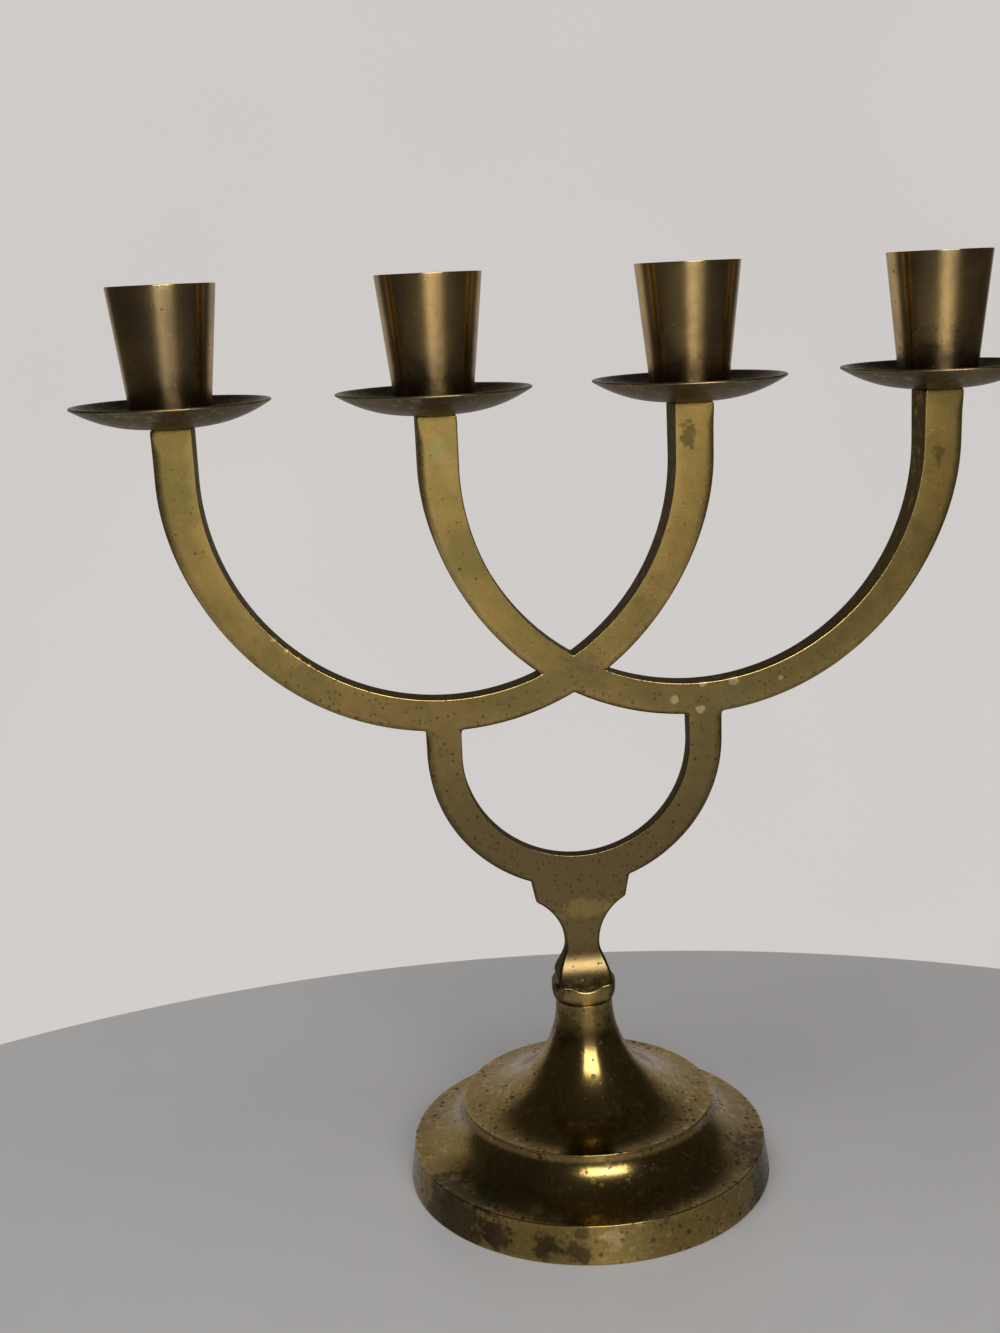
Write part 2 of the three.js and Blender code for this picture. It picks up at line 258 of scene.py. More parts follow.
# The casting: two crossing arches, the yoke, and the stem with its collar
casting = {
    "cupPitch": 66.4,
    "armWidth": 10.4,
    "barWidth": 8.9,
    "armLeg": 13.6,
    "armDepth": 11.0,
    "yokeRadius": 30.8,
    "yokeWidth": 9.2,
    "yokeLeg": 7.0,
    "yokeDepth": 3.6,
    "stemHeight": 32.8,
    "earHalf": 13.6,
    "earFootHalf": 12.4,
    "earDrop": 3.8,
    "waistHalf": 4.7,
    "waistHeight": 16.0,
    "flareHalf": 7.3,
    "flareHalfDepth": 9.0,
    "flareHeight": 7.0,
    "sweepHeight": 24.0,
    "sweepFootHeight": 4.3,
    "sweepPower": 4.0,        # how late the sweep curls out
    "collarRadius": 8.9,
    "collarHeight": 5.6,
    "collarRound": 0.35,      # worn edges of the collar, top and bottom
    "collarCorner": 1.0,      # the square flare is turned down to this far outside the collar
    "trimHeight": 5.5,        # above this height over the collar nothing is turned down
    "stemSink": 0.4,          # how far the stem reaches down into the collar
    "boreRadius": 3.3,
    "boreDepth": 8.7,
    "edgeWide": 1.4,          # how far the rounding of a long edge reaches over the face
    "edgeWideSpread": 1.0,    # outer edges are this much wider, inner ones this much narrower
    "edgeDeep": 0.8,          # how far it reaches over the side wall
    "edgeDeepSpread": 0.35,
    "edgeLeast": 0.45,        # at the arm tops
    "edgeReach": 0.8,         # edges this near a ring count as its own
    "shareRounds": 6,
    "topFade": 7.0,           # the rounding narrows over this height below the arm tops,
    "topPlain": 0.3,          # leaving this much at its narrowest
    "stemRound": 0.85,
    "stemFadeZ": 84.0,        # below here edges are rounded by stemRound
    "stemFade": 12.0,
    "edgeSteps": 6,
    "wallSteps": 12,
    "faceSteps": 33,          # points across the stem's front
    "loftSplitZ": 61.0,       # levels of the stem are wide apart above this and close below
    "loftUpper": 20,
    "loftLower": 91,
    "wedgeSoft": 5.0,         # how softly the thickening towards the arms sets in
    "widthPower": 12,         # how late an arch widens to its arms
    "collarStart": 0.1,       # the collar's swell is this part of a half turn, and
    "collarTurn": 0.58,       # this much more at its top
    "collarPower": 0.8,
    "wornBelow": 60.0,        # the collar's edges are softened below this height
    "wornRounds": 9,          # how often they are
    "topRound": 0.6,          # corners of the arm tops, seen from the front
    "jointRound": 0.62,       # corners where the yoke meets the arches
    "notchRound": 0.8,        # the two pointed gaps beside the crossing
    "crossRound": 0.22,       # corners above and below the crossing
    "earRound": 0.3,
    "fineStep": 0.25,         # fine spacing while corners are softened
    "longStep": 1.6,          # widest spacing kept on the finished outline
    "turnStep": 7.0,          # degrees the outline may turn between two points
    "fillStep": 3.2,          # spacing of the points inside the flat faces
    "fillClear": 0.45,        # part of that spacing kept free along the outline
}

# Levels and places that follow from the sizes above
archRadius = casting["cupPitch"] - casting["armWidth"] / 2
archX = casting["cupPitch"] / 2
yokeZ = foot["height"] + casting["stemHeight"] + casting["yokeWidth"] + casting["yokeRadius"]
archZ = yokeZ + casting["yokeLeg"] + casting["barWidth"] + archRadius
armTopZ = archZ + casting["armLeg"]
yokeOuter = casting["yokeRadius"] + casting["yokeWidth"]
yokeLowZ = yokeZ - casting["yokeRadius"]
waistZ = foot["height"] + casting["waistHeight"]
sweepZ = foot["height"] + casting["sweepHeight"]
sweepFootZ = foot["height"] + casting["sweepFootHeight"]
flareZ = foot["height"] + casting["flareHeight"]
collarZ = foot["height"] + casting["collarHeight"]
cupXs = [-archX - casting["cupPitch"], -archX, archX, archX + casting["cupPitch"]]


def onArc(centre, radius, first, last, steps=160):
    # points of an arc; angles in degrees from its lowest point, growing to the right
    a = np.radians(np.linspace(first, last, steps))
    return np.stack([centre[0] + radius * np.sin(a), centre[1] - radius * np.cos(a)], 1)


def archOutside(side, first, last, steps=2000):
    # outer edge of an arch: the inside radius plus bar + (arm - bar) sin(a)^power
    a = np.radians(np.linspace(first, last, steps))
    grow = np.sin(a) ** casting["widthPower"]
    width = casting["barWidth"] + (casting["armWidth"] - casting["barWidth"]) * grow
    radius = archRadius + width
    return np.stack([side * archX + radius * np.sin(a), archZ - radius * np.cos(a)], 1)


def armTop(outerX):
    # the two corners of an arm's flat top
    return np.array([[outerX, armTopZ], [outerX - casting["armWidth"], armTopZ]])


def rightHalfOutline():
    # from the waist up round ear, yoke, right arch, arm 4, arm 3 and down to the middle
    hollowRise = foot["height"] + casting["stemHeight"] - casting["earDrop"] - waistZ
    hollowRun = casting["earFootHalf"] - casting["waistHalf"]
    hollowRadius = (hollowRise ** 2 + hollowRun ** 2) / (2 * hollowRun)
    a = np.linspace(0, math.asin(hollowRise / hollowRadius), 40)
    hollow = np.stack([
        casting["waistHalf"] + hollowRadius * (1 - np.cos(a)), waistZ + hollowRadius * np.sin(a)], 1)
    earAngle = math.degrees(math.asin(casting["earHalf"] / yokeOuter))
    yokeOutside = onArc((0, yokeZ), yokeOuter, earAngle, 90)
    under = archOutside(1, -40, 90)
    legFoot = np.argmax(under[:, 0] >= yokeOuter)
    archOut = under[legFoot:]
    topFour = armTop(archOut[-1, 0])
    inside = onArc((archX, archZ), archRadius, 90, -90, 2000)
    crossed = archOutside(-1, 0, 90)             # outer edge of the left arch, up to arm 3
    reach = np.hypot(crossed[:, 0] - archX, crossed[:, 1] - archZ)
    meet = np.argmax(reach < archRadius)
    inside = inside[inside[:, 0] > crossed[meet, 0]]
    armOut = crossed[meet:]
    topThree = armTop(armOut[-1, 0])
    lens = onArc((-archX, archZ), archRadius, 90, 0, 2000)
    lens = lens[lens[:, 0] > 0]
    middle = np.array([[0, archZ - math.sqrt(archRadius ** 2 - archX ** 2)]])
    rounding = {
        "earRound": (hollow[-1], yokeOutside[0]), "jointRound": (archOut[0],),
        "topRound": (*topFour, *topThree), "notchRound": (armOut[0],), "crossRound": (middle[0],)}
    corners = [(*place, casting[key]) for key, places in rounding.items() for place in places]
    line = np.vstack([hollow, yokeOutside, archOut, topFour, inside, armOut, topThree, lens, middle])
    return line, corners


def mirroredCorners(corners):
    # the corners on the right, and the same at -x
    return corners + [(-x, z, softness) for x, z, softness in corners]


def outerOutline():
    # the right half and its mirror image, softened at the corners
    right, corners = rightHalfOutline()
    left = (right * [-1, 1])[::-1][1:]
    return roundedLine(np.vstack([right, left]), mirroredCorners(corners), casting, closed=False)


def yokeOpening():
    # the half-round hole inside the yoke, from its lowest point round by the right
    bowl = onArc((0, yokeZ), casting["yokeRadius"], 0, 90)
    under = archOutside(1, -60, 0, 1500)
    under = under[(under[:, 0] > 0) & (under[:, 0] < casting["yokeRadius"])][::-1]
    peak = np.array([[0, archZ - math.sqrt((archRadius + casting["barWidth"]) ** 2 - archX ** 2)]])
    right = np.vstack([bowl, under, peak])
    left = (right * [-1, 1])[::-1][1:-1]
    corners = mirroredCorners([
        (casting["yokeRadius"], under[0, 1], casting["jointRound"]),
        (*peak[0], casting["crossRound"])])
    line = softened(np.vstack([right, left]), corners, casting["fineStep"], closed=True)
    return thinned(line[::-1], casting["longStep"], casting["turnStep"], True)


def halfDepthAt(z):
    # Half thickness: thin + run t^power, where t grows to 1 down at the sweep's foot; above
    # the yoke a steady wedge is added.
    thin = casting["yokeDepth"] / 2
    down = np.clip((sweepZ - z) / (sweepZ - sweepFootZ), 0, 1) ** casting["sweepPower"]
    above = z - yokeLowZ
    grow = (above + np.hypot(above, casting["wedgeSoft"])) / 2 / (armTopZ - yokeLowZ)
    return thin + (casting["flareHalfDepth"] - thin) * down + (casting["armDepth"] / 2 - thin) * grow


def cornerCurve():
    # Shares along the two legs of a rounded corner, which is a quadratic curve: the first
    # falls from 1 to 0 as 1 - t^2 and the second rises from 0 to 1 as 2 t - t^2.
    t = np.linspace(0, 1, casting["edgeSteps"] + 1)
    return 1 - t ** 2, 2 * t - t ** 2


def wallShares():
    # places on a side wall between its two rounded edges, from 1 in front to -1 behind
    return np.linspace(1, -1, casting["wallSteps"] + 2)[1:-1]


def outerShare(points, normals):
    # 1 on the outer edges of arches and yoke and -1 on their inner edges: the part of the
    # edge's normal along the spoke from the ring's centre, smoothed along the line
    rings = [(-archX, archZ, archRadius, casting["armWidth"]),
             (archX, archZ, archRadius, casting["armWidth"]),
             (0, yokeZ, casting["yokeRadius"], casting["yokeWidth"])]
    share = np.zeros(len(points))
    for x, z, inner, width in rings:
        spoke = points - [x, z]
        spoke[:, 1] = np.minimum(spoke[:, 1], 0)       # the legs above are straight
        reach = np.hypot(*spoke.T)
        along = (normals * spoke).sum(1) / reach
        along[np.abs(reach - inner - width / 2) > width / 2 + casting["edgeReach"]] = 0
        share = np.where(np.abs(along) > np.abs(share), along, share)
    for _ in range(casting["shareRounds"]):
        share = (np.roll(share, 1) + 2 * share + np.roll(share, -1)) / 4
    return share[:, None]


def edgeStrip(points, normals, closed):
    # The bar's side wall with its two rounded edges, carried along the outline. Each row
    # goes from the front face's border round the front edge, over the wall and round the
    # back edge. Outer edges are rounded widely, inner ones narrowly.
    toFront, toSide = cornerCurve()
    share = outerShare(points, normals)
    height = points[:, 1:]
    nearTop = 1 - ease((armTopZ - casting["topPlain"] - height) / casting["topFade"])
    nearStem = 1 - ease((height - casting["stemFadeZ"]) / casting["stemFade"])
    wide = casting["edgeWide"] + casting["edgeWideSpread"] * share
    deep = casting["edgeDeep"] + casting["edgeDeepSpread"] * share
    wide, deep = (w + (casting["edgeLeast"] - w) * nearTop for w in (wide, deep))
    wide, deep = (w + (casting["stemRound"] - w) * nearStem for w in (wide, deep))
    inset = wide * (1 - toSide)
    inset = np.concatenate([inset, np.zeros((len(points), casting["wallSteps"])), inset[:, ::-1]], 1)
    x = points[:, :1] - normals[:, :1] * inset
    z = height - normals[:, 1:] * inset
    half = halfDepthAt(z)
    back = deep * (1 - toFront)
    count = back.shape[1]
    wall = (half[:, count:-count] - deep) * wallShares()
    y = np.concatenate([back - half[:, :count], -wall, half[:, -count:] - back[:, ::-1]], 1)
    strip = np.stack([x, y, z], -1)
    return strip, gridFaces(len(points), strip.shape[1], closed, False)


def insideOf(loops, points):
    # even-odd test of many points against closed loops at once
    x, z = points[:, :1], points[:, 1:]
    crossings = np.zeros(len(points), int)
    for loop in loops:
        a, b = loop, np.roll(loop, -1, 0)
        above = (a[:, 1] > z) != (b[:, 1] > z)
        rise = np.where(b[:, 1] == a[:, 1], 1e-12, b[:, 1] - a[:, 1])
        crossX = a[:, 0] + (z - a[:, 1]) * (b[:, 0] - a[:, 0]) / rise
        crossings += (above & (x < crossX)).sum(1)
    return crossings % 2 == 1


def flatFace(loops):
    # triangles between closed loops of (x, z), with a grid of points inside
    step = casting["fillStep"]
    border = np.vstack(loops)
    xs = np.arange(border[:, 0].min(), border[:, 0].max(), step)
    zs = np.arange(border[:, 1].min(), border[:, 1].max(), step)
    xs, zs = np.meshgrid(xs, zs)
    xs = xs + step / 2 * (np.arange(len(xs)) % 2)[:, None]
    inner = np.stack([xs.ravel(), zs.ravel()], 1)
    inner = inner[insideOf(loops, inner)]
    far = np.hypot(*(inner[:, None] - border[None]).transpose(2, 0, 1))
    inner = inner[far.min(1) > step * casting["fillClear"]]
    sizes = [len(loop) for loop in loops]
    starts = np.cumsum([0] + sizes)
    ends = np.concatenate([s + np.roll(np.arange(n), -1) for s, n in zip(starts, sizes)])
    edges = np.stack([np.arange(len(ends)), ends], 1)
    spread = np.vstack([border, inner])
    found = delaunay_2d_cdt(spread.tolist(), edges.tolist(), [], 0, 1e-7, False)
    flat = np.array(found[0])
    triangles = np.array(found[2])
    middles = flat[triangles].mean(1)
    return flat, triangles[insideOf(loops, middles)]


def stemRing(z, half, depth, across):
    # one level section of the stem: a rectangle with rounded corners, from the left of its
    # front round by the right side, back and left side
    least = casting["stemRound"]
    toFront, toSide = cornerCurve()
    front = np.stack([(half - least) * across, np.full(len(across), -depth)], 1)
    turn = np.stack([half - least * (1 - toSide), least * (1 - toFront) - depth], 1)
    wall = np.stack([np.full(casting["wallSteps"], half), (least - depth) * wallShares()], 1)
    right = np.vstack([front, turn[1:], wall, (turn * [1, -1])[::-1]])
    left = np.vstack([(front * [1, -1])[::-1][1:], (turn * [-1, -1])[1:], (wall * [-1, 1])[::-1],
                      (turn * [-1, 1])[::-1][:-1]])
    ring = np.vstack([right, left])
    return np.column_stack([ring, np.full(len(ring), z)])


def collarAt(z):
    # the collar's radius: neck + swell sin(pi (start + turn t^power)), with a quarter round
    # taken off its top and bottom edges, and nothing above it
    t = np.clip((z - foot["height"]) / casting["collarHeight"], 0, 1)
    swell = casting["collarRadius"] - foot["neckRadius"]
    bulge = math.pi * (casting["collarStart"] + casting["collarTurn"] * t ** casting["collarPower"])
    radius = foot["neckRadius"] + swell * np.sin(bulge)
    near = np.minimum(z - foot["height"], collarZ - z) / casting["collarRound"]
    near = np.clip(1 - near, 0, 1)
    radius = radius - casting["collarRound"] * (1 - np.sqrt(1 - near ** 2))
    return np.where(z > collarZ, 0, radius)


def stemLoft(across):
    # The stem below its waist and the collar, level by level. A level starts as a rounded
    # rectangle; then radius = max(min(radius, turned envelope), collar), and the sweep cuts
    # |y| to the half thickness. The envelope is a little wider than the collar and opens at 45
    # degrees above it. The collar's edges are then softened from level to level. At
    # the end it turns in to the stud's bore and up to its top.
    split = casting["loftSplitZ"]
    levels = np.concatenate([
        np.linspace(waistZ, split, casting["loftUpper"], endpoint=False),
        np.linspace(split, foot["height"], casting["loftLower"])])
    widen = 1 - ease((levels - flareZ) / (waistZ - flareZ))
    half = casting["waistHalf"] + (casting["flareHalf"] - casting["waistHalf"]) * widen
    depth = halfDepthAt(levels)
    rings = np.array([stemRing(z, h, d, across) for z, h, d in zip(levels, half, depth)])
    reach = np.hypot(rings[..., 0], rings[..., 1])
    rise = levels - collarZ - casting["trimHeight"]
    trim = casting["collarRadius"] + casting["collarCorner"] + (rise + np.hypot(rise, 1.0)) / 2
    trim[levels < collarZ - casting["stemSink"]] = 0
    target = np.maximum(np.minimum(reach, trim[:, None]), collarAt(levels)[:, None])
    rings[..., :2] *= (target / reach)[..., None]
    rings[..., 1] = np.clip(rings[..., 1], -depth[:, None], depth[:, None])
    worn = levels < casting["wornBelow"]
    low = rings[worn]
    for _ in range(casting["wornRounds"]):
        middle = (low[:-2, :, :2] + low[2:, :, :2]) / 2
        low[1:-1, :, :2] += (middle - low[1:-1, :, :2]) / 2
    rings[worn] = low
    bore = rings[-1:].copy()
    bore[..., :2] *= casting["boreRadius"] / np.hypot(bore[..., 0], bore[..., 1])[..., None]
    rings = np.concatenate([rings, bore, bore + [0, 0, casting["boreDepth"]]])
    return rings.reshape(-1, 3), gridFaces(len(rings), rings.shape[1], False, True), rings.shape[1]


def makeCasting():
    # Side walls along the outline and the yoke's hole, the two faces between them, and the
    # stem's loft with the collar, all joined along equal points.
    points, normals = outerOutline()
    normals[0], normals[-1] = (1, 0), (-1, 0)      # upright at the waist, where the loft starts
    outer, outerFaces = edgeStrip(points, normals, False)
    hole, holeNormals = yokeOpening()
    inner, innerFaces = edgeStrip(hole, holeNormals, True)
    border = outer[:, 0][:, [0, 2]]
    across = np.linspace(-1, 1, casting["faceSteps"])
    half = casting["waistHalf"] - casting["stemRound"]
    base = np.stack([half * across[1:-1], np.full(len(across) - 2, waistZ)], 1)
    flat, triangles = flatFace([np.vstack([border, base]), inner[:, 0][:, [0, 2]]])
    depth = halfDepthAt(flat[:, 1])
    front = np.stack([flat[:, 0], -depth, flat[:, 1]], 1)
    stem, stemFaces, ringSize = stemLoft(across)
    parts = [(outer.reshape(-1, 3), outerFaces), (inner.reshape(-1, 3), innerFaces),
             (front, triangles), (front * [1, -1, 1], triangles[:, ::-1]), (stem, stemFaces)]
    starts = np.cumsum([0] + [len(p) for p, _ in parts])
    lastRing = starts[4] + len(stem) - ringSize + np.arange(ringSize)
    groups = [f + start for (_, f), start in zip(parts, starts)] + [lastRing[None]]
    piece = buildPiece("castFrame", np.vstack([p for p, _ in parts]), groups)
    return facingOut(piece)


# Drip pans and candle cups, the same on every arm
pan = {
    "radius": 25.35,
    "rise": 5.8,
    "wall": 1.3,
    "seatRadius": 5.0,
    "lip": 0.45,
    "boreRadius": 2.3,
    "bowlPower": 2.2,
    "cupGap": 0.3,            # the level floor reaches this far outside the cup
    "lipRound": 0.14,         # softness of the corners, in mm
    "innerRound": 0.2,
    "underSteps": 40,
    "upperSteps": 30,
    "fineStep": 0.1,
    "longStep": 1.3,
    "turnStep": 7,
    "steps": 144,
}
cup = {
    "height": 33.5,
    "mouthRadius": 13.65,
    "footRadius": 9.95,
    "wall": 1.25,
    "floor": 2.1,
    "boreRadius": 2.3,
    "headRadius": 4.0,
    "headRim": 0.3,
    "rounding": [0.05, 0.22, 0.13, 0.2, 0.5, 0.08, 0.05, 0.05],   # in the order of the profile
    "fineStep": 0.08,
    "longStep": 1.6,
    "turnStep": 8,
    "steps": 128,
}


def panCurve(radius):
    # height of the pan's underside: rise s^power, where s grows from 0 at the seat to 1 at the rim
    s = np.clip((radius - pan["seatRadius"]) / (pan["radius"] - pan["seatRadius"]), 0, None)
    return pan["rise"] * s ** pan["bowlPower"]


def panProfile():
    # The underside's curve, over the lip, and the same curve raised by the wall back to the
    # level floor under the cup.
    radius, wall, bore, lip = (pan[k] for k in ("radius", "wall", "boreRadius", "lip"))
    r = np.linspace(pan["seatRadius"], radius, pan["underSteps"])
    under = np.stack([r, panCurve(r)], 1)
    crest = (radius - lip / 2, pan["rise"] + lip)
    flat = cup["footRadius"] + pan["cupGap"]
    r = np.linspace(radius - wall + lip, flat, pan["upperSteps"])
    upper = np.stack([r, np.minimum(panCurve(r) + wall, crest[1])], 1)
    line = np.vstack([[(bore, 0)], under, [crest], upper, [(bore, wall + panCurve(flat))]])
    corners = [(*under[-1], pan["lipRound"]), (*crest, pan["lipRound"]), (*upper[0], pan["innerRound"])]
    return roundedLine(line, corners, pan)[0]


panFloor = pan["wall"] + float(panCurve(cup["footRadius"] + pan["cupGap"]))
cupZ = armTopZ + panFloor


def cupProfile():
    # Up the straight outside, over the mouth, down the inside parallel to it, and over the
    # floor to the countersink of the screw.
    height, mouth, base, wall, floor, bore, head = (cup[k] for k in (
        "height", "mouthRadius", "footRadius", "wall", "floor", "boreRadius", "headRadius"))
    floorRadius = base + (mouth - base) / height * floor - wall
    rimZ = floor - cup["headRim"]
    line = [(bore, 0), (base, 0), (mouth, height), (mouth - wall, height), (floorRadius, floor),
            (head, floor), (head, rimZ), (bore, rimZ - head + bore)]
    corners = [(*place, softness) for place, softness in zip(line, cup["rounding"])]
    return roundedLine(line, corners, cup)[0]


# Materials

def blankFinish(name):
    # a new material with its node tree and its shader
    material = bpy.data.materials.new(name)
    material.use_nodes = True
    return material, material.node_tree, material.node_tree.nodes["Principled BSDF"]


def plug(tree, socket, value):
    # a socket takes a number or a colour, or is wired to another node's output
    if isinstance(value, bpy.types.NodeSocket):
        tree.links.new(value, socket)
    else:
        socket.default_value = value


def makeNode(tree, kind, settings=None, **values):
    # a node with its settings; inputs go by name, or by number as i0, i1 and so on
    node = tree.nodes.new("ShaderNode" + kind)
    for key, value in (settings or {}).items():
        setattr(node, key, value)
    for key, value in values.items():
        plug(tree, node.inputs[int(key[1:]) if key[1:].isdigit() else key], value)
    return node


def fill(tree, node, values):
    # a node's inputs by name
    for key, value in values.items():
        plug(tree, node.inputs[key], value)


def maths(tree, operation, a, b=0.0, c=0.0, clamp=False):
    # one sum of up to three numbers or sockets; MULTIPLY_ADD is a b + c
    settings = {"operation": operation, "use_clamp": clamp}
    return makeNode(tree, "Math", settings, i0=a, i1=b, i2=c).outputs[0]


def ranged(tree, value, low, high, toLow=0.0, toHigh=1.0):
    # value mapped from low..high to toLow..toHigh, with soft ends
    settings = {"interpolation_type": "SMOOTHSTEP"}
    return makeNode(tree, "MapRange", settings, i0=value, i1=low, i2=high, i3=toLow, i4=toHigh).outputs[0]


def blended(tree, share, first, second):
    # first colour where share is 0, second where it is 1
    first, second = ((*c, 1) if isinstance(c, tuple) else c for c in (first, second))
    return makeNode(tree, "Mix", {"data_type": "RGBA"}, i0=share, i6=first, i7=second).outputs[2]


def noise(tree, where, scale, detail=3.0, roughness=0.55, warp=0.0):
    # cloudy noise from 0 to 1, with about scale clouds to the metre
    node = makeNode(tree, "TexNoise", Vector=where, Scale=scale, Detail=detail,
                    Roughness=roughness, Distortion=warp)
    return node.outputs[0]


def placed(tree, scale=(1, 1, 1)):
    # Object coordinates in metres, stretched
    where = makeNode(tree, "TexCoord").outputs["Object"]
    return makeNode(tree, "Mapping", Vector=where, Scale=scale).outputs[0]


def freckles(tree, where, spacing, size, cover):
    # Round specks: a cell pattern with one speck in each chosen cell. spacing and size are in
    # metres, and cover is the share of cells that have a speck, a number or a socket.
    least, crispness = 0.35, 14.0
    cells = makeNode(tree, "TexVoronoi", Vector=where, Scale=1 / spacing, Randomness=1.0)
    pick = makeNode(tree, "SeparateColor", Color=cells.outputs["Color"])
    reach = maths(tree, "MULTIPLY_ADD", pick.outputs[1], size / spacing, least * size / spacing)
    inside = maths(tree, "SUBTRACT", reach, cells.outputs["Distance"])
    dot = maths(tree, "MULTIPLY", inside, crispness, clamp=True)
    chosen = maths(tree, "LESS_THAN", pick.outputs[0], cover)
    return maths(tree, "MULTIPLY", dot, chosen)


def spotMask(tree, where, mark, rag):
    # 1 inside a ragged spot and 0 outside: the distance from its middle, shaken by the noise,
    # fades between 0.6 and 1.3 of its size
    ragged, inner, outer = 3.4, 0.6, 1.3
    metres = mark["size"] * 0.001
    middle = tuple(c * 0.001 for c in mark["at"])
    moved = makeNode(tree, "VectorMath", {"operation": "SUBTRACT"}, i0=where, i1=middle)
    moved = makeNode(tree, "VectorMath", {"operation": "MULTIPLY"},
                     i0=moved.outputs[0], i1=mark["stretch"])
    far = makeNode(tree, "VectorMath", {"operation": "LENGTH"}, i0=moved.outputs[0])
    far = maths(tree, "MULTIPLY_ADD", rag, ragged * metres, far.outputs["Value"])
    return ranged(tree, far, outer * metres, inner * metres)


# The usual old brass. Gaps and sizes of specks are in metres, mottle and grain are clouds to
# the metre, and a pair named From is where in the noise a tone sets in and where it is full.
oldBrass = {
    "gold": (0.62, 0.42, 0.125), "olive": (0.46, 0.34, 0.11), "brown": (0.27, 0.18, 0.075),
    "bright": (0.86, 0.64, 0.24), "dark": (0.05, 0.036, 0.02),
    "mottle": 42.0, "fineTimes": 9, "grain": 900.0, "grainPart": 0.4, "brush": (1, 1, 1),
    "oliveFrom": (0.36, 0.66), "brownFrom": (0.5, 0.72), "goldFrom": (0.5, 0.3),
    "edgeFrom": (0.3, 0.55), "lowFreckles": 0.55, "brownShare": 0.55, "goldShare": 0.35, "edgeShare": 0.8,
    "freckleCover": (0.1, 0.5), "freckleGap": 0.0021, "freckleSize": 0.00042, "freckleDepth": 0.7,
    "speckGap": 0.0015, "speckSize": 0.00036, "speckDepth": 0.8,
    "blotchGap": 0.009, "blotchSize": 0.0011, "blotchCover": 0.12, "marks": [],
    "rough": 0.34, "roughVary": 0.16, "grainHeight": 0.25, "fineHeight": 0.5, "waveHeight": 0.4,
    "pitDepth": 0.3, "bump": 0.35, "turning": 0.0, "edgeTint": 0.85, "coat": 0.0,
    "coatRough": 0.3, "dullRough": 0.25, "edgePolish": 0.08,
}


